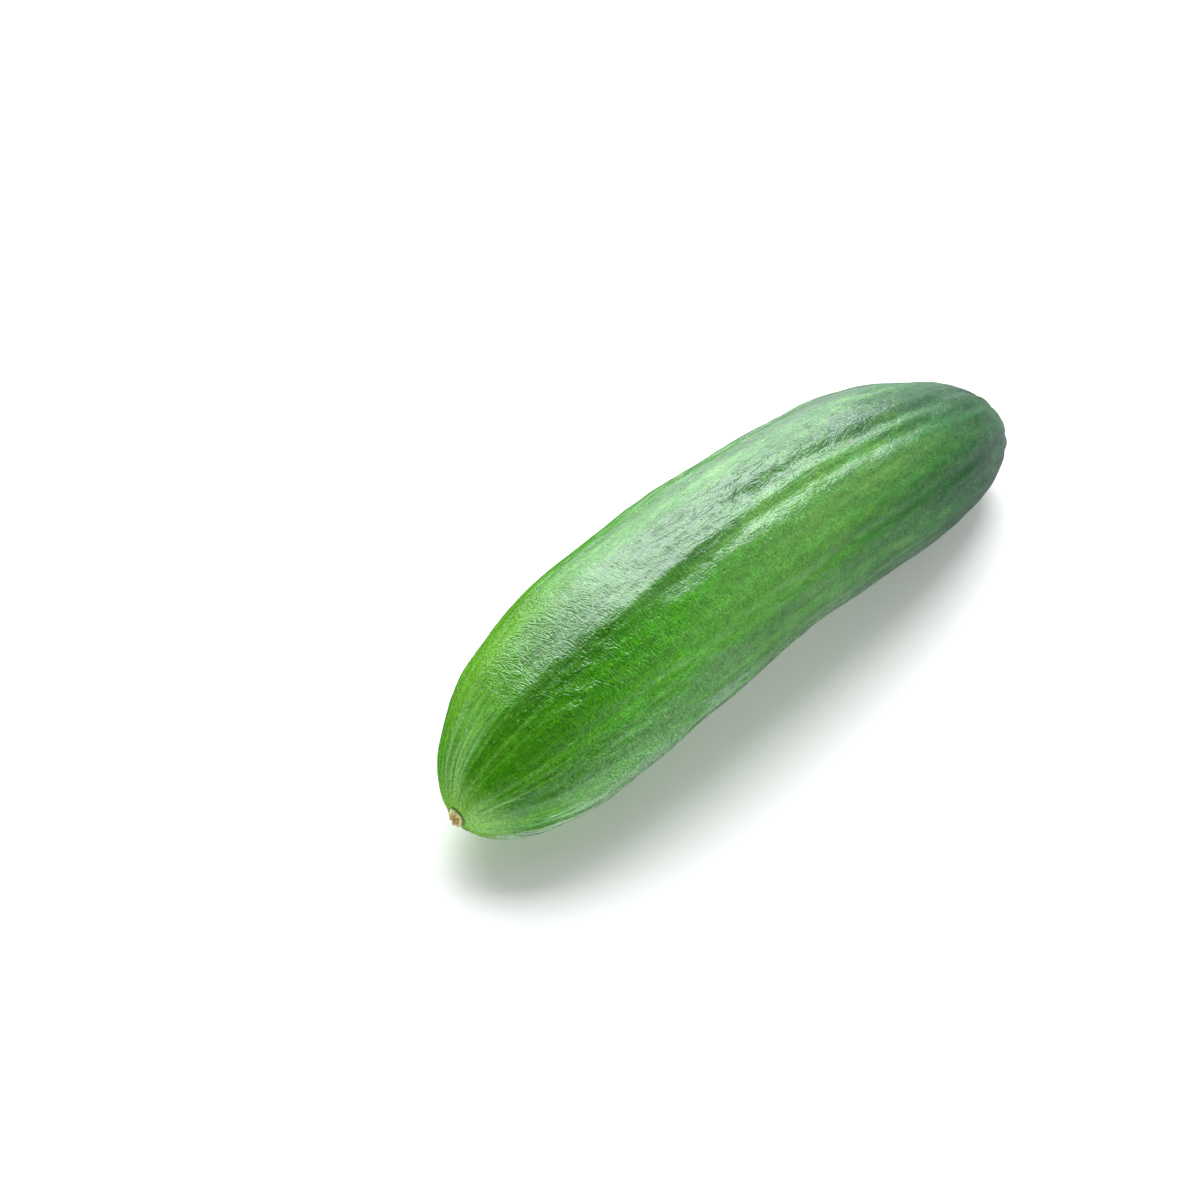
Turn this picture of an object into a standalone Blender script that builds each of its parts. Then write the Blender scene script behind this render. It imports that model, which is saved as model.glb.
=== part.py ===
"""A small ribbed cucumber, as picked. Metres, +Z up.

It lies arched on its two ends, along X, with the blossom end at -X and the stem end at +X.
The origin is on the surface that it rests on, under the middle of the whole fruit.
"""

import math
import random

import bmesh
import bpy
import numpy as np

# Size and bend of the whole fruit
LENGTH = 0.171                      # along the middle line, from pole to pole
RADIUS = 0.0200                     # of the plain body at its thickest
BEND = math.radians(41.0)           # how far the middle line turns from end to end
BEND_SKEW = -0.17                   # below zero, the blossom half is the more bent one

# Taper of the two ends, as shares of the length, and how square their shoulders are
BLOSSOM_TAPER = 0.264
BLOSSOM_SHOULDER = 2.28
STEM_TAPER = 0.331
STEM_SHOULDER = 2.11

# Gentle changes of girth along the body, as shares of the radius
GIRTH_SLOPE = -0.055
GIRTH_BARREL = 0.022
GIRTH_SWELL = 0.100

# Lengthwise ribs. Angles around the body are 0 on its back and grow towards +Y.
RIB_COUNT = 10
RIB_HEIGHT = 0.00042
RIB_SHARPNESS = 1.6
RIB_DRIFT_START = math.radians(-28) # angle of one rib where the ribs stop drifting round the body
RIB_DRIFT_PART = 0.58               # where along the body that is
RIB_DRIFT = math.radians(85)
RIB_UNEVEN = 0.05                   # how far, in radians, the ribs wander from even spacing
RIB_START = 0.0060                  # body radius at which the ribs are at full height

# Swellings and hollows: share of the length, angle, height, and how far they reach along and around
SWELLINGS = (
    (0.015, math.radians(50), -0.00050, 0.020, 0.8),
    (0.060, math.radians(-128), 0.00060, 0.040, 0.8),
    (0.190, math.radians(-118), -0.00090, 0.060, 0.8),
    (0.260, math.radians(47), 0.00065, 0.070, 0.8),
    (0.370, math.radians(-123), 0.00045, 0.050, 0.7),
    (0.700, math.radians(36), 0.00045, 0.050, 0.7),
    (0.830, math.radians(20), -0.00060, 0.050, 0.7),
    (0.955, math.radians(-40), 0.00060, 0.030, 0.8),
)

# Slow lumps over the whole skin
LUMP_HEIGHT = 0.00016
LUMP_WAVES = 9
LUMP_SEED = 11

# Blossom scar, a ring of small lobes in a dimple
DIMPLE_DEPTH = 0.00060
DIMPLE_RADIUS = 0.0034
SCAR_RADIUS = 0.00180
SCAR_WIDTH = 0.00052
SCAR_HEIGHT = 0.00075
SCAR_LOBES = 9
SCAR_LOBE_SHARE = 0.10

# Cut stem, as radius and height above the ring where the body ends, up its side and across its top
STEM_BASE_RADIUS = 0.0056
STEM_RINGS = (
    (0.00470, 0.00040),
    (0.00415, 0.00110),
    (0.00395, 0.00190),
    (0.00380, 0.00240),
    (0.00340, 0.00255),
    (0.00230, 0.00225),
    (0.00120, 0.00235),
    (0.00050, 0.00210),
)
STEM_RIDGES = 5
STEM_RIDGE_SHARE = 0.06

# Resting spots: the fruit is cut this deep by the surface that it rests on
FLAT_DEPTH = 0.00050
TILT_SEARCH = math.radians(20)      # the tilt at which both ends rest is found by halving, within this
TILT_HALVINGS = 40

# Mesh
SEGMENTS = 60
BODY_RING_STEP = 0.0032
BLOSSOM_RING_RADII = (
    0.0004, 0.0009, 0.0013, 0.0016, 0.0019, 0.0022, 0.0026, 0.0032, 0.0042, 0.0056, 0.0074, 0.0094)
STEM_RING_RADII = (0.0098, 0.0082, 0.0068, STEM_BASE_RADIUS)
FINE_STEPS = 2000
SNAP = 0.00002

# Skin
SKIN_COLOUR = (0.060, 0.205, 0.026, 1.0)
SKIN_ROUGHNESS = 0.32
SHARP_ANGLE = math.radians(40)


def clear_scene():
    for old in list(bpy.data.objects):
        bpy.data.objects.remove(old, do_unlink=True)


def smooth_step(value):
    value = np.clip(value, 0.0, 1.0)
    return value * value * (3.0 - 2.0 * value)


def shoulder(share, squareness):
    """Radius of a rounded end: 0 at the pole, 1 where the taper stops."""
    left = 1.0 - np.clip(share, 0.0, 1.0)
    return np.sqrt(1.0 - left ** squareness)


def plain_radius(part):
    """Radius of the body without ribs, where part runs from 0 at the blossom pole to 1 at the stem pole."""
    middle = part - 0.5
    girth = 1.0 + GIRTH_SLOPE * middle - 4.0 * GIRTH_BARREL * middle ** 2
    girth = girth + GIRTH_SWELL * (8.0 * middle ** 3 - 1.2 * middle)
    blossom_end = shoulder(part / BLOSSOM_TAPER, BLOSSOM_SHOULDER)
    stem_end = shoulder((1.0 - part) / STEM_TAPER, STEM_SHOULDER)
    return RADIUS * girth * blossom_end * stem_end


def middle_line():
    """The bent middle line as arrays: part, x, z and slope. It lies in the XZ plane, arched upwards."""
    part = np.linspace(0.0, 1.0, FINE_STEPS + 1)
    middle = part - 0.5
    slope = -BEND * (middle + BEND_SKEW * (middle ** 2 - 1.0 / 12.0))
    step = LENGTH / FINE_STEPS
    half_way = 0.5 * (slope[1:] + slope[:-1])
    x = np.concatenate(([0.0], np.cumsum(np.cos(half_way) * step)))
    z = np.concatenate(([0.0], np.cumsum(np.sin(half_way) * step)))
    return part, x, z, slope


def ring_parts():
    """Where along the middle line the rings lie, closer together at the two ends."""
    near = np.linspace(0.0, math.sqrt(BLOSSOM_TAPER), FINE_STEPS) ** 2
    blossom = np.interp(BLOSSOM_RING_RADII, plain_radius(near), near)
    far = 1.0 - np.linspace(0.0, math.sqrt(STEM_TAPER), FINE_STEPS) ** 2
    stem = np.interp(STEM_RING_RADII, plain_radius(far), far)
    count = round((stem[0] - blossom[-1]) * LENGTH / BODY_RING_STEP)
    body = np.linspace(blossom[-1], stem[0], count + 1)[1:-1]
    return np.concatenate((blossom, body, stem))


def rib_relief(part, angle):
    """Height of the ribs, tallest in the middle and gone at the poles."""
    turn = angle - RIB_DRIFT_START - RIB_DRIFT * (part - RIB_DRIFT_PART) ** 2
    turn = turn + RIB_UNEVEN * np.sin(3.0 * turn)
    crest = (0.5 + 0.5 * np.cos(RIB_COUNT * turn)) ** RIB_SHARPNESS
    strength = 0.75 + 0.25 * np.sin(9.0 * part + 2.0 * angle)
    return RIB_HEIGHT * strength * (crest - 0.4)


def swelling_relief(part, angle):
    """Height of the few swellings and hollows that give the fruit its own outline."""
    total = 0.0
    for middle, side, height, along, around in SWELLINGS:
        near = math.exp(-(((part - middle) / along) ** 2))
        total = total + height * near * np.exp((np.cos(angle - side) - 1.0) / around ** 2)
    return total


def lump_relief(part, angle):
    """Slow uneven swellings, as a sum of waves drawn from a seed."""
    rng = random.Random(LUMP_SEED)
    total = 0.0
    for _ in range(LUMP_WAVES):
        around = rng.randint(1, 5)
        along = rng.uniform(14.0, 44.0)
        total = total + np.sin(around * angle + along * part + rng.uniform(0.0, 2.0 * math.pi))
    return LUMP_HEIGHT * total / math.sqrt(LUMP_WAVES)


def scar_relief(radius, angle):
    """Height of the blossom scar and its dimple above the pole's plain surface."""
    dimple = -DIMPLE_DEPTH * np.exp(-((radius / DIMPLE_RADIUS) ** 2))
    lobes = np.cos(SCAR_LOBES * angle)
    off_ring = (radius - SCAR_RADIUS * (1.0 + SCAR_LOBE_SHARE * lobes)) / SCAR_WIDTH
    return dimple + SCAR_HEIGHT * (0.85 + 0.15 * lobes) * np.exp(-(off_ring ** 2))


def ring(line, part, radius, lift, angle):
    """One ring across the middle line, each point pushed along the line's direction by its lift."""
    line_part, line_x, line_z, line_slope = line
    slope = np.interp(part, line_part, line_slope)
    up = radius * np.cos(angle)
    x = np.interp(part, line_part, line_x) - math.sin(slope) * up + math.cos(slope) * lift
    y = radius * np.sin(angle)
    z = np.interp(part, line_part, line_z) + math.cos(slope) * up + math.sin(slope) * lift
    return np.stack((x, y, z), axis=-1)


def skin_points():
    """All rings of skin points, from pole to pole, as an array of rings by segments by XYZ."""
    line = middle_line()
    parts = ring_parts()
    angle = np.arange(SEGMENTS) * 2.0 * math.pi / SEGMENTS
    rings = []
    for part in parts:
        plain = plain_radius(part)
        relief = rib_relief(part, angle) + lump_relief(part, angle) + swelling_relief(part, angle)
        radius = plain + smooth_step(plain / RIB_START) * relief
        lift = -scar_relief(plain, angle) if part < 0.5 else 0.0
        rings.append(ring(line, part, radius, lift, angle))
    for radius, height in STEM_RINGS:
        ridged = radius * (1.0 + STEM_RIDGE_SHARE * np.cos(STEM_RIDGES * angle))
        rings.append(ring(line, parts[-1], ridged, height, angle))
    return np.array(rings)


def tilted(points, tilt):
    """The points turned about the Y axis."""
    x = points[..., 0] * math.cos(tilt) + points[..., 2] * math.sin(tilt)
    z = points[..., 2] * math.cos(tilt) - points[..., 0] * math.sin(tilt)
    return np.stack((x, points[..., 1], z), axis=-1)


def settled(points):
    """The points turned and moved so that both ends press equally deep into the surface z = 0."""
    low = -TILT_SEARCH
    high = TILT_SEARCH
    middle = len(points) // 2
    for _ in range(TILT_HALVINGS):
        tilt = 0.5 * (low + high)
        turned = tilted(points, tilt)
        if turned[:middle, :, 2].min() > turned[middle:, :, 2].min():
            high = tilt
        else:
            low = tilt
    turned = tilted(points, 0.5 * (low + high))
    box_middle = 0.5 * (turned.min(axis=(0, 1)) + turned.max(axis=(0, 1)))
    return turned - np.array((box_middle[0], box_middle[1], turned[..., 2].min() + FLAT_DEPTH))


def skin_mesh(points):
    """A closed mesh of quads between the rings, with a fan of triangles at each pole."""
    mesh = bmesh.new()
    rings = [[mesh.verts.new(point) for point in row] for row in points]
    for row, following in zip(rings[:-1], rings[1:]):
        for i in range(SEGMENTS):
            j = (i + 1) % SEGMENTS
            mesh.faces.new((row[i], row[j], following[j], following[i]))
    for row in (rings[0], rings[-1]):
        pole = mesh.verts.new(np.mean([vert.co for vert in row], axis=0))
        for i in range(SEGMENTS):
            mesh.faces.new((row[i], row[(i + 1) % SEGMENTS], pole))
    return mesh


def flatten_resting_spots(mesh):
    """Cuts the mesh at z = 0 and closes each cut with one flat face."""
    everything = mesh.verts[:] + mesh.edges[:] + mesh.faces[:]
    bmesh.ops.bisect_plane(
        mesh, geom=everything, dist=SNAP, plane_co=(0, 0, 0), plane_no=(0, 0, 1), clear_inner=True)
    rims = [edge for edge in mesh.edges if edge.is_boundary]
    for vert in {vert for edge in rims for vert in edge.verts}:
        vert.co.z = 0.0
    bmesh.ops.holes_fill(mesh, edges=rims, sides=0)


def skin_material():
    material = bpy.data.materials.new("cucumber_skin")
    material.use_nodes = True
    shader = material.node_tree.nodes["Principled BSDF"]
    shader.inputs["Base Color"].default_value = SKIN_COLOUR
    shader.inputs["Roughness"].default_value = SKIN_ROUGHNESS
    shader.inputs["Metallic"].default_value = 0.0
    return material


def build():
    clear_scene()
    mesh = skin_mesh(settled(skin_points()))
    flatten_resting_spots(mesh)
    bmesh.ops.recalc_face_normals(mesh, faces=mesh.faces)
    data = bpy.data.meshes.new("cucumber")
    mesh.to_mesh(data)
    mesh.free()
    data.shade_smooth()
    data.set_sharp_from_angle(angle=SHARP_ANGLE)
    data.materials.append(skin_material())
    bpy.context.scene.collection.objects.link(bpy.data.objects.new("cucumber", data))


build()
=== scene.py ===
"""Looks of the cucumber: its skin, blossom scar and stem cut, on a pale floor in soft studio light.

Metres, +Z up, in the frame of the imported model. The shape formulas repeat those of the part's source, with
a fuller blossom end and finer relief on top of them. A place on the skin is a part, which is the share of
the length from the blossom end, and an angle round the body, which is 0 on its back and grows towards +Y.
"""

import math
import random

import bpy
import numpy as np
from mathutils import Matrix, Vector


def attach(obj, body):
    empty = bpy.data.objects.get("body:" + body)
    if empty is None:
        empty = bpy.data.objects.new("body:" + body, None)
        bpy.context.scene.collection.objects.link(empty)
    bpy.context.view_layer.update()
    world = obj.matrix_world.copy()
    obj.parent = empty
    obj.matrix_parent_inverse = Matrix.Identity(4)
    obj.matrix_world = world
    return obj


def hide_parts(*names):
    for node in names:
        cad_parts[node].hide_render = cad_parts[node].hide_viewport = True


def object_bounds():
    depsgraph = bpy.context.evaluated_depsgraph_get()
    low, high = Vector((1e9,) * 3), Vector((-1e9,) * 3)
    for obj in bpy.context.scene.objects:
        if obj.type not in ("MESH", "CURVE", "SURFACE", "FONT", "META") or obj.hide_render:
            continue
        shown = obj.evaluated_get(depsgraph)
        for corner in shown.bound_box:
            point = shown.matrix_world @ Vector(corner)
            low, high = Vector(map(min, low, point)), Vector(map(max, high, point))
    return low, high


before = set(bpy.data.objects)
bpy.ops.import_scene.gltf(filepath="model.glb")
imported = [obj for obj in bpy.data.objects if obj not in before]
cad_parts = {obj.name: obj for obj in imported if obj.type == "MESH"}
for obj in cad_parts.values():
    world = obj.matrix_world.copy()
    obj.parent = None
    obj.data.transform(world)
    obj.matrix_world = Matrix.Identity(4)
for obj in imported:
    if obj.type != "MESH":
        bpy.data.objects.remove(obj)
cad_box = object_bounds()

FULL_TURN = 2.0 * math.pi
MM = 1000.0                         # millimetres in a metre

# The fruit's shape, as in the part's source
LENGTH = 0.171
RADIUS = 0.0200
BEND = math.radians(41.0)
BEND_SKEW = -0.17
BLOSSOM_TAPER = 0.264
BLOSSOM_SHOULDER = 2.28
STEM_TAPER = 0.331
STEM_SHOULDER = 2.11
GIRTH_SLOPE = -0.055
GIRTH_BARREL = 0.022
GIRTH_SWELL = 0.100
RIB_COUNT = 10
RIB_HEIGHT = 0.00042
RIB_SHARPNESS = 1.6
RIB_DRIFT_START = math.radians(-28)
RIB_DRIFT_PART = 0.58
RIB_DRIFT = math.radians(85)
RIB_UNEVEN = 0.05
RIB_START = 0.0060
LUMP_HEIGHT = 0.00016
LUMP_WAVES = 9
LUMP_SEED = 11
LUMPS_AROUND = 5
LUMPS_ALONG = (14.0, 44.0)
STEM_BASE_RADIUS = 0.0056
FLAT_DEPTH = 0.0005
TILT_SEARCH = math.radians(20)
TILT_HALVINGS = 40
FINE_STEPS = 2000
PROFILE_STEPS = 80000

# Swellings and hollows: part, angle in degrees, height, reach along and around. The first is shallower than
# in the source, and the last five are not in it.
SWELLINGS = (
    (0.015, 50, -0.00008, 0.020, 0.8),
    (0.060, -128, 0.00060, 0.040, 0.8),
    (0.190, -118, -0.00090, 0.060, 0.8),
    (0.260, 47, 0.00065, 0.070, 0.8),
    (0.370, -123, 0.00045, 0.050, 0.7),
    (0.700, 36, 0.00045, 0.050, 0.7),
    (0.830, 20, -0.00060, 0.050, 0.7),
    (0.955, -40, 0.00060, 0.030, 0.8),
    (0.035, -150, 0.00031, 0.030, 0.8),
    (0.030, 65, 0.00026, 0.030, 0.8),
    (0.110, -128, 0.00020, 0.040, 0.8),
    (0.120, 54, 0.00050, 0.035, 0.6),
    (0.280, -120, -0.00030, 0.040, 0.8),
)

# Blossom end, with a fuller tip and a shallower dimple than in the source
DIMPLE_DEPTH = 0.00030
DIMPLE_RADIUS = 0.0026
TIP_BULGE = 0.00100
TIP_BULGE_RADIUS = 0.00607
TIP_BULGE_UP = -0.00200

# Low ribs halfway between the main ribs, and narrow grooves on both sides of each
MINOR_RIB_HEIGHT = 0.00026
MINOR_RIB_START = 0.30
MINOR_RIB_FULL = 0.62
GROOVE_DEPTH = 0.00024
GROOVE_WIDTH = 0.050
GROOVE_START = 0.26
GROOVE_FULL = 0.55

# Waves that say how far, in radians, the grooves stray from even spacing
WANDER = 0.014
WANDER_WAVES = 16
WANDER_SEED = 3
WANDERS_AROUND = 6
WANDERS_ALONG = (10.0, 55.0)

# Small folds, with the spread of how often they repeat around and along the body
FOLD_HEIGHT = 0.000040
FOLD_WAVES = 140
FOLD_SEED = 5
FOLDS_AROUND = 26.0
FOLDS_ALONG = 95.0

# Furrows: depth, half width in radians, and places as part and angle in degrees
FURROWS = (
    (0.00055, 0.085, ((0.29, -27), (0.38, -27.5), (0.45, -28), (0.56, -29), (0.68, -30), (0.78, -31))),
    (-0.00022, 0.080, ((0.30, -40), (0.40, -40), (0.56, -41), (0.72, -41))),
    (0.00058, 0.095, ((0.44, -12), (0.50, -13.5), (0.58, -15), (0.66, -18.5), (0.72, -19.5), (0.82, -18))),
    (0.00012, 0.050, ((0.42, -1), (0.50, -2), (0.60, -2.5), (0.70, -2.5))),
    (0.00018, 0.050, ((0.36, 13), (0.50, 12.5), (0.64, 13), (0.80, 12))),
    (0.00012, 0.034, ((0.26, -15), (0.30, -16), (0.36, -16))),
)
FURROW_END = 0.05                   # over this much of the length a furrow fades out
FURROW_STRAY = 0.4                  # how much of the grooves' straying a furrow takes

# The side of the body where the furrows take the place of the grooves, the minor ribs and the main ribs
FURROW_SIDE = math.radians(-12)
FURROW_SIDE_FULL = math.radians(32)
FURROW_SIDE_EDGE = math.radians(50)
FURROW_SIDE_START = (0.18, 0.28)
FURROW_SIDE_END = (0.92, 0.80)
RIB_FADE = (0.36, 0.50)

# Fine ridges that spread from the blossom scar
END_STREAK_HEIGHT = 0.000014
END_STREAK_REACH = 0.16
END_STREAK_WAVES = 12
END_STREAKS_AROUND = (14, 46)
END_STREAK_SEED = 23

# Blossom scar: a ring of lobes with a pitted hollow inside
SCAR_REACH = 0.00225
SCAR_RADIUS = 0.00140
SCAR_WIDTH = 0.00036
SCAR_HEIGHT = 0.00048
SCAR_LOBES = 9
SCAR_UP = 0.00115                   # from the tip of the middle line, across it
SCAR_ASIDE = 0.00050
SCAR_LEAN = 0.16                    # rise across the scar, highest at the side below
SCAR_LEAN_SIDE = math.radians(147)
SCAR_SLOPE = 0.0006                 # width of the slopes into the hollow and at the outer edge
SCAR_HOLLOW_DEPTH = 0.00022
SCAR_HOLLOW_ROUGH = 0.00008
SCAR_ROUGH = 0.00005
SCAR_SINK = 0.00016                 # how far the outer edge goes into the skin
SCAR_SINK_RADII = (0.00190, 0.00220)
SCAR_SEED = 8
SCAR_TURN_REACH = 0.009             # body radius within which the streaks run to the scar
SCAR_PART = 0.02                    # part of the length that the scar lies within

# Cut stem, as radius and height above the ring where the body ends
STEM_PROFILE = (
    (0.00620, -0.00140), (0.00545, -0.00025), (0.00480, 0.00025), (0.00425, 0.00080), (0.00405, 0.00130),
    (0.00395, 0.00168), (0.00382, 0.00186), (0.00362, 0.00190), (0.00330, 0.00176), (0.00300, 0.00170),
    (0.00270, 0.00180), (0.00235, 0.00172), (0.00180, 0.00163), (0.00120, 0.00167), (0.00060, 0.00148),
    (0.00015, 0.00140))
STEM_CUT_START = 6                  # the point of the profile where the cut face starts
STEM_CUT_EDGE = 0.0002
STEM_RIDGES = 5
STEM_RIDGE_SHARE = 0.06
STEM_RIDGE_TURN = 0.4
STEM_RIPPLES = ((23.0, 0.012), (37.0, 0.010))   # count around and share of the radius
STEM_ROUGH = 0.00004
STEM_SEED = 4
VESSEL_COUNT = 20
VESSEL_RADIUS = 0.0029
VESSEL_WIDTH = 0.00028
VESSEL_DEPTH = 0.00008

# Meshes
SEGMENTS = 240
RING_STEP = 0.00046
FIRST_RING_RADIUS = 0.00025
SCAR_RINGS = 56
SCAR_SEGMENTS = 144
SCAR_FIRST_RING_RADIUS = 0.00003
SCAR_FINE_STEPS = 4000
STEM_RINGS = 84
STEM_SEGMENTS = 160
LEAST_TEXTURE_RADIUS = 0.0004

# Patches of the skin: part, angle in degrees, strength, reach along and around
# Mostly painted light and shade: darker on the top, where the key light falls, lighter on the flank and in
# the furrow at -27 degrees
TONES_AND_PAINTED_LIGHT = (                           # lighter where above zero
    (0.36, -6, -0.52, 0.20, 0.30),
    (0.17, 8, -0.35, 0.09, 0.50),
    (0.66, 0, -0.20, 0.14, 0.40),
    (0.45, -62, 0.34, 0.34, 0.42),
    (0.86, -62, -0.25, 0.09, 0.60),
    (0.95, 0, -0.20, 0.06, 1.50),
    (0.52, -27, 0.30, 0.14, 0.10),
    (0.60, -46, 0.12, 0.20, 0.11),
)
LIME_PATCHES = (                    # light yellow-green
    (0.15, 36, 0.85, 0.11, 0.34),
    (0.17, 150, 0.60, 0.10, 0.40),
    (0.60, -46, 0.60, 0.18, 0.10),
    (0.52, -27, 0.45, 0.12, 0.09),
    (0.42, -62, 0.20, 0.16, 0.20),
)
CREASED = ((0.50, -3, 0.70, 0.28, 0.27),)   # where fine creases run along the skin
CREASED_ANYWHERE = 0.28
CREASE_START = (0.24, 0.38)         # parts between which the creases grow, and then fade
CREASE_END = (0.86, 0.72)

# Colours
STEM_GREEN = (0.006, 0.120, 0.016, 1.0)
MIDDLE_GREEN = (0.053, 0.262, 0.009, 1.0)
BLOSSOM_GREEN = (0.068, 0.370, 0.003, 1.0)
PALE_GREEN = (0.130, 0.400, 0.050, 1.0)
YELLOW_GREEN = (0.190, 0.420, 0.030, 1.0)
END_GREEN = (0.270, 0.660, 0.080, 1.0)
DOT_GREEN = (0.320, 0.660, 0.110, 1.0)
LIME = (0.170, 0.450, 0.010, 1.0)
PALE_YELLOW = (0.230, 0.480, 0.090, 1.0)
SCAR_GREEN = (0.100, 0.260, 0.020, 1.0)
SCAR_RING = (1.000, 0.950, 0.520, 1.0)
SCAR_HOLLOW = (0.880, 0.640, 0.180, 1.0)
SCAR_BROWN = (0.420, 0.240, 0.050, 1.0)
STEM_SIDE_GREEN = (0.060, 0.160, 0.030, 1.0)
STEM_SIDE_PALE = (0.200, 0.270, 0.100, 1.0)
CUT_GREEN = (0.360, 0.380, 0.180, 1.0)
CUT_PALE = (0.560, 0.540, 0.330, 1.0)
CUT_HEART = (0.300, 0.220, 0.090, 1.0)
CUT_RIM = (0.230, 0.220, 0.100, 1.0)
VESSEL_BROWN = (0.160, 0.120, 0.045, 1.0)

# Colours of the skin: parts of the length over which one gives way to the next, and shares and tones
STEM_TO_MIDDLE = (0.88, 0.34)
MIDDLE_TO_BLOSSOM = (0.46, 0.10)
MARKED = (0.86, 0.66)               # towards the stem, pale ribs and blotches fade
PALE_SHARE = 0.42
BLOTCHED = (0.25, 0.50)
BLOTCH_SHARE = 0.36
LIME_TO_YELLOW = (0.24, 0.34)
END_LINES = (0.18, 0.0)
END_LINE_SHARE = 0.8
END_SPOT = (0.035, 0.0)
DOTTED = (0.40, 0.18)
DOT_SHARES = (0.16, 0.50)
DOT_EDGE = (0.24, 0.10)             # from the middle of a dot, as a share of the spacing
STREAK_TONES = (0.75, 1.26)
DENT_TONES = (0.82, 1.20)
GRAIN_TONES = (0.68, 1.36)

# Noise of the skin: changes for each mm along and around the body
MOTTLE = (0.13, 0.42, 0.42)
DENTS = (0.42, 0.80, 0.80)
CRINKLES = (0.74, 0.30, 0.30)
FINE_CRINKLES = (1.90, 0.90, 0.90)
HATCHING = (3.40, 0.80, 0.80)
CREASES = (0.17, 0.60, 0.60)
GRAIN_SCALE = 2.2
DOT_SCALE = 0.80
PIT_SCALE = 0.40
HAZE_SCALE = 0.12

# The same for the streaks, for the whole length and for each radian around
STREAKS = (2.2, 4.5, 4.5)
FINE_STREAKS = (3.5, 15.0, 15.0)

# Finest relief, which is bump in the material: parts where it starts and ends, and heights in mm
BUMP_UNIT = 0.001
CRINKLE_START = (0.07, 0.13)
CRINKLE_CALMED = (0.31, 0.20)       # past the blossom end the crinkles drop to a share of their height
CRINKLE_CALM_SHARE = 0.36
CRINKLE_END = (0.84, 0.68)
CRINKLE_MM = (0.23, 0.42)
CRINKLE_LEAST_MM = 0.04
FINE_CRINKLE_SHARE = 0.15
FINE_CRINKLE_LEAST_MM = 0.05
HATCHING_GROWTH = (0.26, 0.40)
HATCHING_MM = (0.06, 0.09)
DENT_MM = 0.13
CREASE_HALF_WIDTH = 0.05            # as a change of the noise whose middle value a crease follows
CREASE_MM = (0.03, 0.085)
PIT_EDGE = (0.05, 0.13)
PIT_MM = 0.10
GRAIN_MM = 0.018
CRINKLE_SLANT = 5.0                 # radians that the crinkles turn round the body along its length

# Camera of the photograph, fitted to the fruit's outline
CAMERA_PLACE = (-0.37608, -0.29388, 0.38641)
CAMERA_TURN = math.radians(48.56)
CAMERA_ELEVATION = math.radians(38.10)
CAMERA_ROLL = math.radians(0.887)
CAMERA_LENS = 90.0
CAMERA_SENSOR = 36.0
CAMERA_CLIP_START = 0.01

# Studio: azimuth and elevation in degrees, distance, width and height in metres, radiance
LIGHTS = {
    "key": (50, 53, 1.5, 1.85, 1.35, 3.7),
    "core": (32, 50, 1.6, 1.35, 1.45, 4.1),
    "back": (54, 11, 1.6, 1.1, 1.0, 2.2),
    "right": (-17, 42, 1.5, 0.9, 0.7, 1.2),
    "side": (-46, 22, 1.6, 1.5, 0.8, 0.8),
    "top": (-140, 84, 1.4, 0.8, 0.8, 0.6),
}
LIGHT_COLOUR = (0.88, 0.95, 1.0)
WORLD_RADIANCE = 0.04
BACKDROP_COLOUR = (0.98, 0.98, 0.98, 1.0)
FLOOR_SIZE = 8.0
FLOOR_COLOUR = (0.88, 0.83, 0.80, 1.0)
FLOOR_GLOW = 0.25

# Glows in the surroundings: azimuth, elevation, radius of the full glow and of its edge in degrees, radiance
GLOWS = (
    (-68, -38, 13, 27, 1.7),
    (-70, -12, 10, 24, 0.5),
    (-110, -25, 10, 34, 0.8),
    (-5, -69, 13, 21, 1.5),
    (-160, -48, 20, 42, 1.2),
    (0, -29, 10, 24, 0.45),
    (118, 4, 12, 36, 1.0),
    (10, 14, 10, 26, 0.6),
    (36, -9, 6, 18, 0.8),
    (10, -10, 8, 24, 0.30),
    (-32, -17, 6, 20, 0.45),
)


def ramp(value, nought, one):
    """A smooth step from 0 at one value to 1 at another, which may be the lower of the two."""
    share = np.clip((value - nought) / (one - nought), 0.0, 1.0)
    return share * share * (3.0 - 2.0 * share)


def bell(value, width):
    return np.exp(-((value / width) ** 2))


def wrapped(angle):
    """The same angle between minus half a turn and half a turn."""
    return (angle + math.pi) % FULL_TURN - math.pi


def ring_angles(count):
    return (np.arange(count) * FULL_TURN / count)[None, :]


def patches(part, angle, places):
    """Sum of soft-edged patches, one for each place in a list."""
    total = 0.0
    for middle, side, strength, along, around in places:
        near = bell(part - middle, along)
        total = total + strength * near * np.exp((np.cos(angle - math.radians(side)) - 1.0) / around ** 2)
    return total


def drawn_waves(part, angle, seed, count, most_around, along_range):
    """Sum of waves over the skin, drawn from a seed."""
    rng = random.Random(seed)
    total = 0.0
    for _ in range(count):
        around = rng.randint(1, most_around)
        along = rng.uniform(*along_range)
        total = total + np.sin(around * angle + along * part + rng.uniform(0.0, FULL_TURN))
    return total


def disc_waves(radius_mm, angle, seed, count, lowest, highest):
    """Uneven ripples over a small disc, as a sum of flat waves drawn from a seed."""
    rng = random.Random(seed)
    x = radius_mm * np.cos(angle)
    y = radius_mm * np.sin(angle)
    total = 0.0
    for _ in range(count):
        way = rng.uniform(0.0, FULL_TURN)
        size = rng.uniform(lowest, highest)
        total = total + np.sin(size * (x * math.cos(way) + y * math.sin(way)) + rng.uniform(0.0, FULL_TURN))
    return total / math.sqrt(0.5 * count)


def shoulder(share, squareness):
    left = 1.0 - np.clip(share, 0.0, 1.0)
    return np.sqrt(1.0 - left ** squareness)


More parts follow.
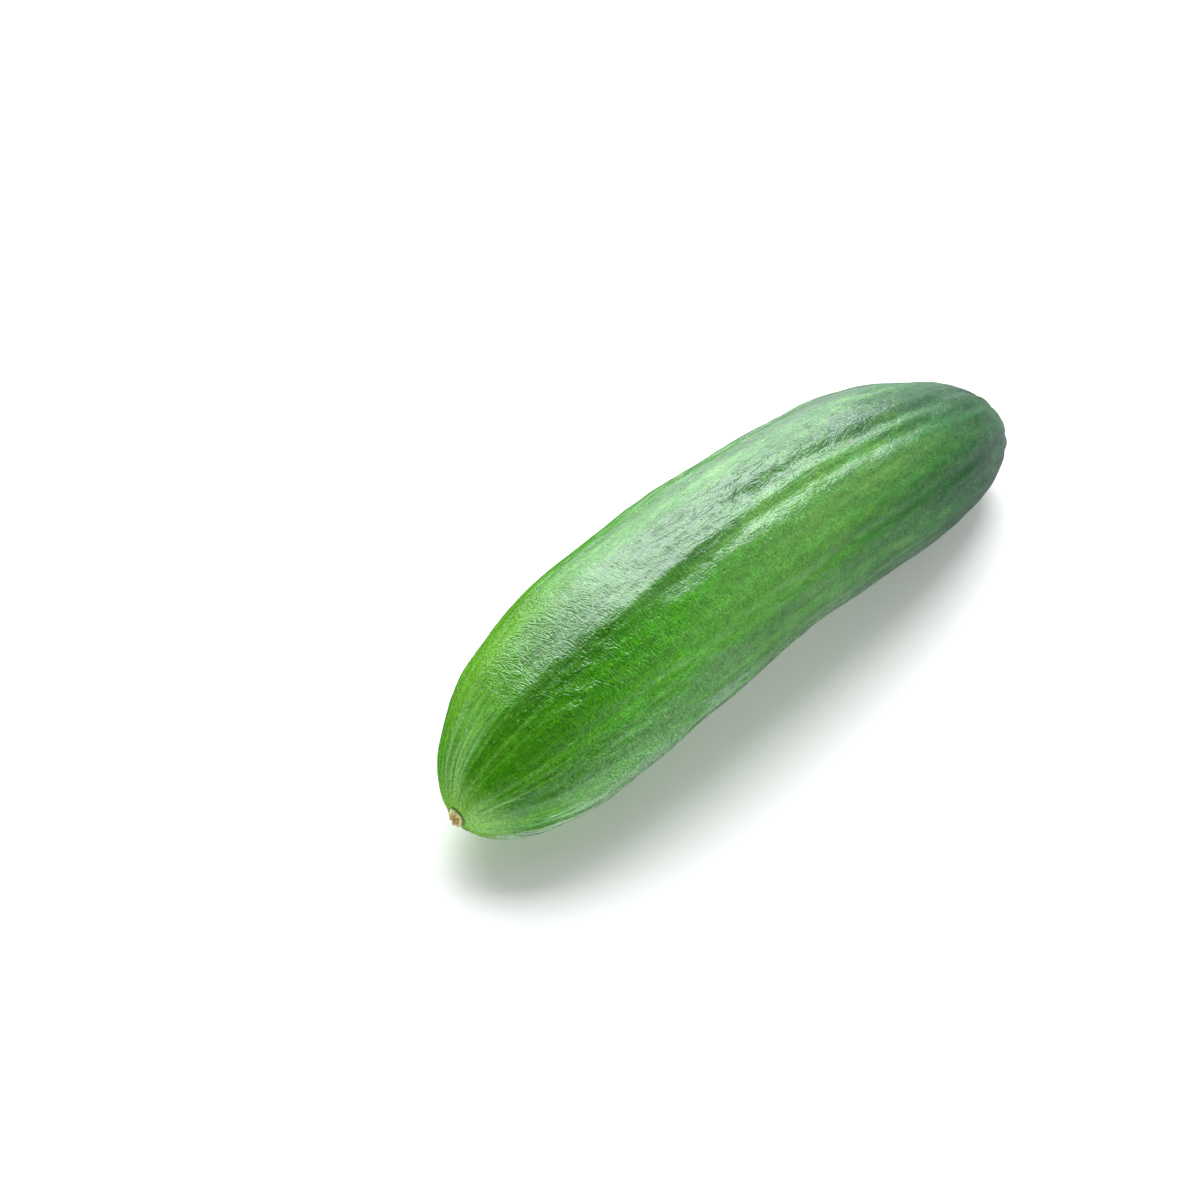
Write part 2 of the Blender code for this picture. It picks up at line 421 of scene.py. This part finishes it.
def plain_radius(part):
    middle = part - 0.5
    girth = 1.0 + GIRTH_SLOPE * middle - 4.0 * GIRTH_BARREL * middle ** 2
    girth = girth + GIRTH_SWELL * (8.0 * middle ** 3 - 1.2 * middle)
    blossom_end = shoulder(part / BLOSSOM_TAPER, BLOSSOM_SHOULDER)
    stem_end = shoulder((1.0 - part) / STEM_TAPER, STEM_SHOULDER)
    return RADIUS * girth * blossom_end * stem_end


def middle_line():
    """The bent middle line as arrays: part, x, z and slope. It lies in the XZ plane, arched upwards."""
    part = np.linspace(0.0, 1.0, FINE_STEPS + 1)
    middle = part - 0.5
    slope = -BEND * (middle + BEND_SKEW * (middle ** 2 - 1.0 / 12.0))
    step = LENGTH / FINE_STEPS
    half_way = 0.5 * (slope[1:] + slope[:-1])
    x = np.concatenate(([0.0], np.cumsum(np.cos(half_way) * step)))
    z = np.concatenate(([0.0], np.cumsum(np.sin(half_way) * step)))
    return part, x, z, slope


def line_points(part, radius, lift, angle):
    """Points round the middle line, each lifted along it."""
    line_part, line_x, line_z, line_slope = middle_line()
    slope = np.interp(part, line_part, line_slope)
    up = radius * np.cos(angle)
    x = np.interp(part, line_part, line_x) - np.sin(slope) * up + np.cos(slope) * lift
    y = radius * np.sin(angle)
    z = np.interp(part, line_part, line_z) + np.cos(slope) * up + np.sin(slope) * lift
    return np.stack((x, y, z), axis=-1)


def ring_parts():
    """Where along the middle line the rings lie, evenly spaced along the profile of the body."""
    share = np.linspace(0.0, 1.0, PROFILE_STEPS)
    part = share ** 2 * (3.0 - 2.0 * share)
    radius = plain_radius(part)
    run = np.concatenate(([0.0], np.cumsum(np.hypot(np.diff(part) * LENGTH, np.diff(radius)))))
    end = PROFILE_STEPS // 4
    blossom = np.interp(FIRST_RING_RADIUS, radius[:end], run[:end])
    stem = np.interp(-STEM_BASE_RADIUS, -radius[-end:], run[-end:])
    count = round((stem - blossom) / RING_STEP)
    return np.interp(np.linspace(blossom, stem, count + 1), run, part)


def rib_turn(part, angle):
    """Angle measured from one rib, which drifts round the body towards the two ends."""
    return angle - RIB_DRIFT_START - RIB_DRIFT * (part - RIB_DRIFT_PART) ** 2


def rib_relief(part, angle):
    turn = rib_turn(part, angle)
    turn = turn + RIB_UNEVEN * np.sin(3.0 * turn)
    crest = (0.5 + 0.5 * np.cos(RIB_COUNT * turn)) ** RIB_SHARPNESS
    strength = 0.75 + 0.25 * np.sin(9.0 * part + 2.0 * angle)
    return RIB_HEIGHT * strength * (crest - 0.4)


def lump_relief(part, angle):
    lumps = drawn_waves(part, angle, LUMP_SEED, LUMP_WAVES, LUMPS_AROUND, LUMPS_ALONG)
    return LUMP_HEIGHT * lumps / math.sqrt(LUMP_WAVES)


def minor_rib_relief(part, angle):
    """Low ribs halfway between the main ones, strongest in the stem half."""
    crest = (0.5 - 0.5 * np.cos(RIB_COUNT * rib_turn(part, angle))) ** 2
    return MINOR_RIB_HEIGHT * ramp(part, MINOR_RIB_START, MINOR_RIB_FULL) * crest


def wander(part, angle):
    """How far, in radians, the grooves stray from their even spacing."""
    total = drawn_waves(part, angle, WANDER_SEED, WANDER_WAVES, WANDERS_AROUND, WANDERS_ALONG)
    return WANDER * total / math.sqrt(0.5 * WANDER_WAVES)


def groove_relief(part, angle):
    """Narrow grooves on both sides of each rib, which come and go along the stem half."""
    turn = rib_turn(part, angle) + wander(part, angle)
    off = wrapped(2.0 * RIB_COUNT * turn - math.pi)
    sharp = bell(off, 2.0 * RIB_COUNT * GROOVE_WIDTH)
    strength = 0.35 + 0.65 * ramp(part, GROOVE_START, GROOVE_FULL)
    broken = 0.8 + 0.2 * np.sin(31.0 * part + 7.0 * np.sin(3.0 * angle))
    return -GROOVE_DEPTH * strength * broken * sharp


def furrow_side(part, angle):
    """One on the side with the listed furrows, and nought elsewhere."""
    off = np.abs(wrapped(angle - FURROW_SIDE))
    side = 1.0 - ramp(off, FURROW_SIDE_FULL, FURROW_SIDE_EDGE)
    return side * ramp(part, *FURROW_SIDE_START) * ramp(part, *FURROW_SIDE_END)


def furrow_relief(part, angle):
    """Longer furrows whose places were read off, each with tapering ends."""
    stray = FURROW_STRAY * wander(2.3 * part, 0.5 * angle)
    fade = 0.5 * FURROW_END
    total = 0.0
    for depth, half_width, places in FURROWS:
        along = np.array(places)
        middle = np.interp(part, along[:, 0], np.radians(along[:, 1]))
        first, last = along[[0, -1], 0]
        there = ramp(part, first - fade, first + fade) * ramp(part, last + fade, last - fade)
        total = total - depth * there * bell(wrapped(angle - middle - stray), half_width)
    return total


def fold_relief(part, angle):
    """Small irregular folds, longer than wide, as a sum of waves drawn from a seed."""
    rng = random.Random(FOLD_SEED)
    turn = rib_turn(part, angle)
    total = 0.0
    for _ in range(FOLD_WAVES):
        around = round(abs(rng.gauss(0.0, FOLDS_AROUND)))
        along = rng.gauss(0.0, FOLDS_ALONG)
        total = total + np.sin(around * turn + along * part + rng.uniform(0.0, FULL_TURN))
    return FOLD_HEIGHT * total / math.sqrt(0.5 * FOLD_WAVES)


def scar_angle(part, angle):
    """Angle round the middle line, and round the scar where it is near."""
    plain = plain_radius(part)
    near = np.where(part < 0.5, bell(plain, SCAR_TURN_REACH), 0.0)
    return np.arctan2(plain * np.sin(angle) - near * SCAR_ASIDE, plain * np.cos(angle) - near * SCAR_UP)


def end_streak_relief(part, angle):
    """Fine ridges that spread from the blossom scar."""
    rng = random.Random(END_STREAK_SEED)
    turn = rib_turn(part, scar_angle(part, angle))
    total = 0.0
    for _ in range(END_STREAK_WAVES):
        total = total + np.sin(rng.randint(*END_STREAKS_AROUND) * turn + rng.uniform(0.0, FULL_TURN))
    return END_STREAK_HEIGHT * total / math.sqrt(0.5 * END_STREAK_WAVES) * bell(part, END_STREAK_REACH)


def tip_lift(up, aside):
    """How far the blossom end is pushed in along the middle line: a full tip with a dimple for the scar."""
    bulge = np.exp(-((up - TIP_BULGE_UP) ** 2 + aside ** 2) / TIP_BULGE_RADIUS ** 2)
    dimple = np.exp(-((up - SCAR_UP) ** 2 + (aside - SCAR_ASIDE) ** 2) / DIMPLE_RADIUS ** 2)
    return DIMPLE_DEPTH * dimple - TIP_BULGE * bulge


def skin_points(part, angle):
    """Skin points as an array of rings by segments by XYZ, before the fruit is settled."""
    plain = plain_radius(part)
    ribs = rib_relief(part, angle)
    relief = ribs + lump_relief(part, angle) + patches(part, angle, SWELLINGS)
    relief = relief + fold_relief(part, angle) + end_streak_relief(part, angle) + furrow_relief(part, angle)
    furrowed = furrow_side(part, angle)
    relief = relief + (1.0 - furrowed) * (minor_rib_relief(part, angle) + groove_relief(part, angle))
    relief = relief - furrowed * ramp(part, *RIB_FADE) * ribs
    radius = plain + ramp(plain, 0.0, RIB_START) * relief
    lift = np.where(part < 0.5, tip_lift(plain * np.cos(angle), plain * np.sin(angle)), 0.0)
    return line_points(part, radius, lift, angle)


def tilted(points, tilt):
    x = points[..., 0] * math.cos(tilt) + points[..., 2] * math.sin(tilt)
    z = points[..., 2] * math.cos(tilt) - points[..., 0] * math.sin(tilt)
    return np.stack((x, points[..., 1], z), axis=-1)


def settling(points):
    """Tilt and shift that rest both ends on the surface z = 0, as in the part's source."""
    low = -TILT_SEARCH
    high = TILT_SEARCH
    middle = len(points) // 2
    for _ in range(TILT_HALVINGS):
        tilt = 0.5 * (low + high)
        turned = tilted(points, tilt)
        if turned[:middle, :, 2].min() > turned[middle:, :, 2].min():
            high = tilt
        else:
            low = tilt
    turned = tilted(points, 0.5 * (low + high))
    shift_x = 0.5 * (cad_box[0][0] + cad_box[1][0]) - 0.5 * (turned[..., 0].min() + turned[..., 0].max())
    shift_y = 0.5 * (cad_box[0][1] + cad_box[1][1]) - 0.5 * (turned[..., 1].min() + turned[..., 1].max())
    return 0.5 * (low + high), np.array((shift_x, shift_y, -turned[..., 2].min() - FLAT_DEPTH))


def settled(points, tilt, shift):
    return tilted(points, tilt) + shift


def grid_mesh(name, points):
    """A closed mesh of quads between rings, with a fan of triangles at each pole."""
    rings, segments = points.shape[:2]
    poles = np.stack((points[0].mean(axis=0), points[-1].mean(axis=0)))
    verts = np.concatenate((points.reshape(-1, 3), poles))
    index = np.arange(rings * segments).reshape(rings, segments)
    after = np.roll(index, -1, axis=1)
    quads = np.stack((index[:-1], index[1:], after[1:], after[:-1]), axis=-1).reshape(-1, 4)
    first_fan = np.stack((index[0], after[0], np.full(segments, rings * segments)), axis=-1)
    last_fan = np.stack((after[-1], index[-1], np.full(segments, rings * segments + 1)), axis=-1)
    mesh = bpy.data.meshes.new(name)
    mesh.from_pydata(verts.tolist(), [], quads.tolist() + first_fan.tolist() + last_fan.tolist())
    mesh.validate()
    mesh.shade_smooth()
    return mesh


def store(mesh, name, values):
    """Keeps one number or vector per point, with the mean of the end rings at the poles."""
    rings = values.reshape(values.shape[0], values.shape[1], -1)
    poles = np.stack((rings[0].mean(axis=0), rings[-1].mean(axis=0)))
    data = np.concatenate((rings.reshape(-1, rings.shape[2]), poles)).astype(np.float32)
    if data.shape[1] == 1:
        mesh.attributes.new(name, "FLOAT", "POINT").data.foreach_set("value", data.ravel())
    else:
        mesh.attributes.new(name, "FLOAT_VECTOR", "POINT").data.foreach_set("vector", data.ravel())


def add_piece(name, mesh, material):
    mesh.materials.append(material)
    piece = bpy.data.objects.new(name, mesh)
    bpy.context.scene.collection.objects.link(piece)
    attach(piece, "root")
    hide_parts("cucumber")


class Nodes:
    """Short calls for building a node tree."""

    def __init__(self, name):
        self.material = bpy.data.materials.new(name)
        self.material.use_nodes = True
        self.tree = self.material.node_tree
        self.shader = self.tree.nodes["Principled BSDF"]

    def add(self, kind, inputs=None, **settings):
        node = self.tree.nodes.new(kind)
        for key, value in settings.items():
            setattr(node, key, value)
        for key, value in (inputs or {}).items():
            self.feed(node.inputs[key], value)
        return node

    def feed(self, socket, value):
        if isinstance(value, bpy.types.NodeSocket):
            self.tree.links.new(value, socket)
        else:
            socket.default_value = value

    def shade(self, name, value):
        self.feed(self.shader.inputs[name], value)

    def attribute(self, name, output="Fac"):
        return self.add("ShaderNodeAttribute", attribute_name=name).outputs[output]

    def math(self, operation, first, second=0.0, clamp=False):
        node = self.add("ShaderNodeMath", {0: first, 1: second}, operation=operation, use_clamp=clamp)
        return node.outputs[0]

    def times(self, first, second):
        return self.math("MULTIPLY", first, second)

    def plus(self, first, second):
        return self.math("ADD", first, second)

    def noise(self, vector, stretch=None, scale=1.0, detail=2.0, roughness=0.5, distortion=0.0):
        if stretch:
            node = self.add("ShaderNodeVectorMath", {0: vector, 1: stretch}, operation="MULTIPLY")
            vector = node.outputs[0]
        node = self.add("ShaderNodeTexNoise", {
            "Vector": vector, "Scale": scale, "Detail": detail, "Roughness": roughness,
            "Distortion": distortion})
        return node.outputs["Fac"]

    def spots(self, vector, scale):
        """Distance from the nearest of many scattered points."""
        node = self.add("ShaderNodeTexVoronoi", {"Vector": vector, "Scale": scale, "Randomness": 1.0})
        return node.outputs["Distance"]

    def between(self, value, low, high, new_low=0.0, new_high=1.0):
        node = self.add("ShaderNodeMapRange", {
            "Value": value, "From Min": low, "From Max": high, "To Min": new_low, "To Max": new_high})
        node.interpolation_type = "SMOOTHSTEP"
        return node.outputs["Result"]

    def mix(self, share, first, second, blend="MIX"):
        node = self.add("ShaderNodeMix", data_type="RGBA", blend_type=blend)
        self.feed(node.inputs[0], share)
        self.feed(node.inputs[6], first)
        self.feed(node.inputs[7], second)
        return node.outputs[2]

    def brightened(self, colour, factor):
        grey = self.add("ShaderNodeCombineColor", {"Red": factor, "Green": factor, "Blue": factor})
        return self.mix(1.0, colour, grey.outputs[0], "MULTIPLY")


def skin_colour(n, straight, part, mottle, dents, grain):
    """Green, dark at the stem and light at the blossom end, with streaks, pale ribs, blotches, dots, and
    painted light and shade.
    """
    ribwise = n.attribute("ribwise", "Vector")
    streak = n.noise(ribwise, STREAKS, detail=3.0, roughness=0.6)
    fine_streak = n.noise(ribwise, FINE_STREAKS, roughness=0.6)

    colour = n.mix(n.between(part, *STEM_TO_MIDDLE), STEM_GREEN, MIDDLE_GREEN)
    colour = n.mix(n.between(part, *MIDDLE_TO_BLOSSOM), colour, BLOSSOM_GREEN)
    # painted light and shade from the patches on the skin, times the skin's own tone from its streaks and
    # dents
    tone_and_painted_light = n.times(n.attribute("tone_and_painted_light"), n.between(streak, 0.30, 0.70, *STREAK_TONES))
    tone_and_painted_light = n.times(tone_and_painted_light, n.between(dents, 0.30, 0.70, *DENT_TONES))
    colour = n.brightened(colour, tone_and_painted_light)

    marked = n.between(part, *MARKED)
    pale = n.times(n.between(n.attribute("crest"), 0.25, 1.0), n.between(mottle, 0.30, 0.75))
    colour = n.mix(n.times(pale, n.times(marked, PALE_SHARE)), colour, PALE_GREEN)
    blotches = n.times(n.between(mottle, 0.45, 0.80), n.between(part, *BLOTCHED))
    colour = n.mix(n.times(blotches, n.times(marked, BLOTCH_SHARE)), colour, YELLOW_GREEN)
    yellow = n.mix(n.between(part, *LIME_TO_YELLOW), LIME, PALE_YELLOW)
    colour = n.mix(n.times(n.attribute("lime"), n.between(streak, 0.35, 0.60, 0.55, 1.0)), colour, yellow)

    end_lines = n.times(n.between(part, *END_LINES), n.between(fine_streak, 0.45, 0.66))
    colour = n.mix(n.times(end_lines, END_LINE_SHARE), colour, END_GREEN)
    colour = n.mix(n.between(part, *END_SPOT), colour, END_GREEN)
    dots = n.between(n.spots(straight, DOT_SCALE), *DOT_EDGE)
    colour = n.mix(n.times(dots, n.between(part, *DOTTED, *DOT_SHARES)), colour, DOT_GREEN)
    return n.brightened(colour, n.between(grain, 0.30, 0.70, *GRAIN_TONES))


def skin_height(n, straight, part, mottle, dents, grain):
    """Height of the finest relief, in mm: crinkles, hatching, dents, creases, pits and grain."""
    crinkle = n.noise(n.attribute("oblique", "Vector"), CRINKLES, distortion=1.4)
    crinkle = n.math("PINGPONG", crinkle, 0.5)
    calmed = n.between(part, *CRINKLE_CALMED, CRINKLE_CALM_SHARE, 1.0)
    crinkled = n.times(n.between(part, *CRINKLE_START), calmed)
    crinkled = n.times(crinkled, n.between(part, *CRINKLE_END))
    crinkled = n.times(crinkled, n.between(mottle, 0.35, 0.65, *CRINKLE_MM))
    height = n.times(crinkle, n.plus(crinkled, CRINKLE_LEAST_MM))

    fine_crinkle = n.noise(straight, FINE_CRINKLES, roughness=0.6, distortion=1.0)
    fine_crinkled = n.plus(n.times(crinkled, FINE_CRINKLE_SHARE), FINE_CRINKLE_LEAST_MM)
    height = n.plus(height, n.times(fine_crinkle, fine_crinkled))
    hatching = n.noise(straight, HATCHING, roughness=0.6, distortion=0.4)
    height = n.plus(height, n.times(hatching, n.between(part, *HATCHING_GROWTH, *HATCHING_MM)))
    height = n.plus(height, n.times(dents, DENT_MM))

    crease = n.noise(straight, CREASES, roughness=0.6, distortion=0.6)
    crease = n.math("ABSOLUTE", n.math("SUBTRACT", crease, 0.5))
    creased = n.times(n.attribute("creased"), n.between(mottle, 0.62, 0.46, *CREASE_MM))
    height = n.plus(height, n.times(n.between(crease, 0.0, CREASE_HALF_WIDTH), creased))
    pits = n.between(n.spots(straight, PIT_SCALE), *PIT_EDGE)
    height = n.plus(height, n.times(pits, PIT_MM))
    return n.plus(height, n.times(grain, GRAIN_MM))


def skin_material():
    n = Nodes("cucumber_skin")
    straight = n.attribute("straight", "Vector")
    part = n.attribute("part")
    mottle = n.noise(straight, MOTTLE, detail=4.0, roughness=0.55)
    dents = n.noise(straight, DENTS, detail=3.0, roughness=0.6)
    grain = n.noise(straight, scale=GRAIN_SCALE, roughness=0.8)
    n.shade("Base Color", skin_colour(n, straight, part, mottle, dents, grain))
    height = skin_height(n, straight, part, mottle, dents, grain)
    bump = n.add("ShaderNodeBump", {"Strength": 1.0, "Distance": BUMP_UNIT, "Height": height})
    n.shade("Normal", bump.outputs["Normal"])
    haze = n.noise(straight, scale=HAZE_SCALE, detail=3.0)
    n.shade("Roughness", n.between(haze, 0.3, 0.7, 0.16, 0.22))
    n.shade("IOR", 1.60)
    return n.material


def scar_material():
    n = Nodes("blossom_scar")
    hollow = n.attribute("hollow")
    colour = n.mix(n.between(n.attribute("ring"), 0.15, 0.75), SCAR_GREEN, SCAR_RING)
    colour = n.mix(hollow, colour, SCAR_HOLLOW)
    low_spots = n.between(n.attribute("high"), 0.45, 0.05)
    dark = n.math("MULTIPLY", low_spots, n.plus(hollow, 0.25), clamp=True)
    n.shade("Base Color", n.mix(dark, colour, SCAR_BROWN))
    n.shade("Roughness", 0.75)
    return n.material


def stem_material():
    n = Nodes("stem_cut")
    radius = n.attribute("radius_mm")
    grain = n.noise(n.attribute("disc", "Vector"), scale=1.6, detail=3.0, roughness=0.6)
    side = n.mix(n.between(grain, 0.35, 0.65), STEM_SIDE_GREEN, STEM_SIDE_PALE)
    cut = n.mix(n.between(grain, 0.30, 0.70), CUT_GREEN, CUT_PALE)
    cut = n.mix(n.between(radius, 1.0, 0.3), cut, CUT_HEART)
    cut = n.mix(n.between(radius, 3.25, 3.6), cut, CUT_RIM)
    cut = n.mix(n.attribute("vessels"), cut, VESSEL_BROWN)
    n.shade("Base Color", n.mix(n.attribute("face"), side, cut))
    n.shade("Roughness", 0.7)
    return n.material


def on_skin(part, turn):
    """Coordinates in mm for the noise of the skin: along the middle line, and round it."""
    radius_mm = MM * np.maximum(plain_radius(part), LEAST_TEXTURE_RADIUS)
    run_mm = MM * LENGTH * part * np.ones_like(turn)
    return np.stack((run_mm, radius_mm * np.sin(turn), radius_mm * np.cos(turn)), axis=-1)


def skin():
    """The skin. Returns the tilt and shift that settle the fruit, and the part where the stem starts."""
    part = ring_parts()[:, None]
    angle = ring_angles(SEGMENTS)
    raw = skin_points(part, angle)
    tilt, shift = settling(raw)
    points = settled(raw, tilt, shift)
    # the two spots that it rests on are flat
    points[..., 2] = np.maximum(points[..., 2], 0.0)
    mesh = grid_mesh("cucumber_skin", points)
    turn = rib_turn(part, angle)
    whole = np.ones_like(turn)
    store(mesh, "part", part * whole)
    store(mesh, "crest", 0.5 + 0.5 * np.cos(RIB_COUNT * turn))
    # patches of painted light and shade, with some of the skin's own tone
    store(mesh, "tone_and_painted_light", 1.0 + patches(part, angle, TONES_AND_PAINTED_LIGHT))
    store(mesh, "lime", np.clip(patches(part, angle, LIME_PATCHES), 0.0, 1.0))
    creased = ramp(part, *CREASE_START) * ramp(part, *CREASE_END)
    store(mesh, "creased", creased * (CREASED_ANYWHERE + patches(part, angle, CREASED)))
    store(mesh, "straight", on_skin(part, turn))
    store(mesh, "oblique", on_skin(part, angle + CRINKLE_SLANT * part))
    streak_turn = rib_turn(part, scar_angle(part, angle))
    store(mesh, "ribwise", np.stack((part * whole, np.sin(streak_turn), np.cos(streak_turn)), axis=-1))
    add_piece("cucumber_skin", mesh, skin_material())
    return tilt, shift, part[-1, 0]


def blossom_scar(tilt, shift):
    radius = np.linspace(SCAR_FIRST_RING_RADIUS, SCAR_REACH, SCAR_RINGS)[:, None]
    angle = ring_angles(SCAR_SEGMENTS)
    up = SCAR_UP + radius * np.cos(angle)
    aside = SCAR_ASIDE + radius * np.sin(angle)
    out = np.hypot(up, aside)
    near = np.linspace(0.0, SCAR_PART, SCAR_FINE_STEPS)
    base = np.interp(out, plain_radius(near), near) * LENGTH + tip_lift(up, aside)

    turn = angle + 0.10 * np.sin(3.0 * angle + 1.0) + 0.06 * np.sin(5.0 * angle)
    lobes = np.cos(SCAR_LOBES * turn)
    unround = 0.05 * np.sin(2.0 * angle + 0.6) + 0.04 * np.sin(4.0 * angle)
    middle = SCAR_RADIUS * (1.0 + 0.07 * lobes + unround)
    ring = bell(radius - middle, SCAR_WIDTH)
    uneven = 1.0 + 0.22 * np.sin(4.0 * angle + 2.0) + 0.15 * np.sin(7.0 * angle)
    height = SCAR_HEIGHT * (0.72 + 0.28 * lobes) * uneven * ring
    hollow = ramp(radius, middle, middle - SCAR_SLOPE)
    pits = disc_waves(MM * radius, angle, SCAR_SEED + 1, 30, 4.0, 9.0)
    height = height + hollow * (SCAR_HOLLOW_ROUGH * pits - SCAR_HOLLOW_DEPTH)
    grain = disc_waves(MM * radius, angle, SCAR_SEED, 40, 6.0, 22.0)
    height = height + SCAR_ROUGH * grain * (0.4 + ring + hollow)
    height = height - SCAR_SINK * ramp(radius, *SCAR_SINK_RADII)
    leaning = SCAR_LEAN * (SCAR_REACH + radius * np.cos(angle - SCAR_LEAN_SIDE))
    height = height + leaning * ramp(radius, SCAR_REACH, SCAR_REACH - SCAR_SLOPE)

    points = settled(line_points(0.0, out, base - height, np.arctan2(aside, up)), tilt, shift)
    mesh = grid_mesh("blossom_scar", points[::-1])
    store(mesh, "ring", ring[::-1])
    store(mesh, "hollow", hollow[::-1])
    store(mesh, "high", (0.5 * grain + 0.5 + 0.3 * lobes)[::-1])
    add_piece("blossom_scar", mesh, scar_material())


def stem_cut(part, tilt, shift):
    angle = ring_angles(STEM_SEGMENTS)
    profile = np.array(STEM_PROFILE)
    run = np.concatenate(([0.0], np.cumsum(np.hypot(*np.diff(profile, axis=0).T))))
    place = np.linspace(0.0, run[-1], STEM_RINGS)[:, None]
    radius = np.interp(place, run, profile[:, 0])
    face = ramp(place, run[STEM_CUT_START], run[STEM_CUT_START] + STEM_CUT_EDGE)
    ripples = 0.0
    for count, share in STEM_RIPPLES:
        ripples = ripples + share * (1.0 - face) * np.sin(count * angle)
    ridges = STEM_RIDGE_SHARE * np.cos(STEM_RIDGES * angle + STEM_RIDGE_TURN)
    ridged = radius * (1.0 + ridges) * (1.0 + ripples)
    grain = disc_waves(MM * radius, angle, STEM_SEED, 50, 3.0, 14.0)
    vessels = bell(radius - VESSEL_RADIUS, VESSEL_WIDTH) * (0.5 + 0.5 * np.cos(VESSEL_COUNT * angle)) ** 2
    lift = np.interp(place, run, profile[:, 1]) + face * (STEM_ROUGH * grain - VESSEL_DEPTH * vessels)
    points = settled(line_points(part, ridged, lift, angle), tilt, shift)
    mesh = grid_mesh("stem_cut", points)
    whole = np.ones_like(ridged)
    store(mesh, "face", face * whole)
    store(mesh, "radius_mm", MM * radius * whole)
    store(mesh, "vessels", face * vessels)
    store(mesh, "disc", MM * np.stack((ridged * np.cos(angle), ridged * np.sin(angle), lift), axis=-1))
    add_piece("stem_cut", mesh, stem_material())


def direction(azimuth, elevation):
    a = math.radians(azimuth)
    e = math.radians(elevation)
    return Vector((math.cos(a) * math.cos(e), math.sin(a) * math.cos(e), math.sin(e)))


def area_light(name, azimuth, elevation, distance, width, height, radiance):
    data = bpy.data.lights.new(name, "AREA")
    data.shape = "RECTANGLE"
    data.size = width
    data.size_y = height
    # the watts that give this radiance
    data.energy = radiance * math.pi * width * height
    data.color = LIGHT_COLOUR
    light = bpy.data.objects.new(name, data)
    towards = direction(azimuth, elevation)
    light.location = towards * distance
    light.rotation_euler = towards.to_track_quat("Z", "Y").to_euler()
    light.visible_camera = False
    bpy.context.scene.collection.objects.link(light)


def floor():
    """A plain pale floor, which the skin doesn't mirror."""
    mesh = bpy.data.meshes.new("floor")
    half = 0.5 * FLOOR_SIZE
    corners = [(-half, -half, 0), (half, -half, 0), (half, half, 0), (-half, half, 0)]
    mesh.from_pydata(corners, [], [(0, 1, 2, 3)])
    n = Nodes("floor")
    n.shade("Base Color", FLOOR_COLOUR)
    n.shade("Roughness", 0.9)
    n.shade("Specular IOR Level", 0.0)
    n.shade("Emission Color", (1.0, 1.0, 1.0, 1.0))
    n.shade("Emission Strength", FLOOR_GLOW)
    mesh.materials.append(n.material)
    plane = bpy.data.objects.new("floor", mesh)
    plane.visible_glossy = False
    bpy.context.scene.collection.objects.link(plane)


def glow_sum(tree, look):
    """Dim light from all round, with a soft glow for each line of the list."""
    total = WORLD_RADIANCE
    for azimuth, elevation, full, edge, radiance in GLOWS:
        dot = tree.nodes.new("ShaderNodeVectorMath")
        dot.operation = "DOT_PRODUCT"
        tree.links.new(look, dot.inputs[0])
        dot.inputs[1].default_value = direction(azimuth, elevation)
        glow = tree.nodes.new("ShaderNodeMapRange")
        glow.interpolation_type = "SMOOTHSTEP"
        tree.links.new(dot.outputs["Value"], glow.inputs["Value"])
        glow.inputs["From Min"].default_value = math.cos(math.radians(edge))
        glow.inputs["From Max"].default_value = math.cos(math.radians(full))
        glow.inputs["To Max"].default_value = radiance
        add = tree.nodes.new("ShaderNodeMath")
        tree.links.new(glow.outputs["Result"], add.inputs[0])
        if isinstance(total, bpy.types.NodeSocket):
            tree.links.new(total, add.inputs[1])
        else:
            add.inputs[1].default_value = total
        total = add.outputs[0]
    return total


def surroundings():
    """Dim surroundings with a few soft glows, and a pale backdrop where the camera sees past the floor."""
    world = bpy.data.worlds.new("studio")
    world.use_nodes = True
    tree = world.node_tree
    look = tree.nodes.new("ShaderNodeTexCoord").outputs["Generated"]
    dim = tree.nodes["Background"]
    dim.inputs["Color"].default_value = (*LIGHT_COLOUR, 1.0)
    tree.links.new(glow_sum(tree, look), dim.inputs["Strength"])
    pale = tree.nodes.new("ShaderNodeBackground")
    pale.inputs["Color"].default_value = BACKDROP_COLOUR
    path = tree.nodes.new("ShaderNodeLightPath")
    mix = tree.nodes.new("ShaderNodeMixShader")
    tree.links.new(path.outputs["Is Camera Ray"], mix.inputs[0])
    tree.links.new(dim.outputs[0], mix.inputs[1])
    tree.links.new(pale.outputs[0], mix.inputs[2])
    tree.links.new(mix.outputs[0], tree.nodes["World Output"].inputs["Surface"])
    bpy.context.scene.world = world


def camera():
    data = bpy.data.cameras.new("camera")
    data.lens = CAMERA_LENS
    data.sensor_width = CAMERA_SENSOR
    data.clip_start = CAMERA_CLIP_START
    turn = Matrix.Rotation(-CAMERA_TURN, 4, "Z")
    lift = Matrix.Rotation(0.5 * math.pi - CAMERA_ELEVATION, 4, "X")
    roll = Matrix.Rotation(-CAMERA_ROLL, 4, "Z")
    eye = bpy.data.objects.new("camera", data)
    eye.matrix_world = Matrix.Translation(CAMERA_PLACE) @ turn @ lift @ roll
    bpy.context.scene.collection.objects.link(eye)
    bpy.context.scene.camera = eye


bpy.context.scene.view_settings.view_transform = "Standard"
tilt, shift, stem_part = skin()
blossom_scar(tilt, shift)
stem_cut(stem_part, tilt, shift)
floor()
for name, settings in LIGHTS.items():
    area_light(name, *settings)
surroundings()
camera()
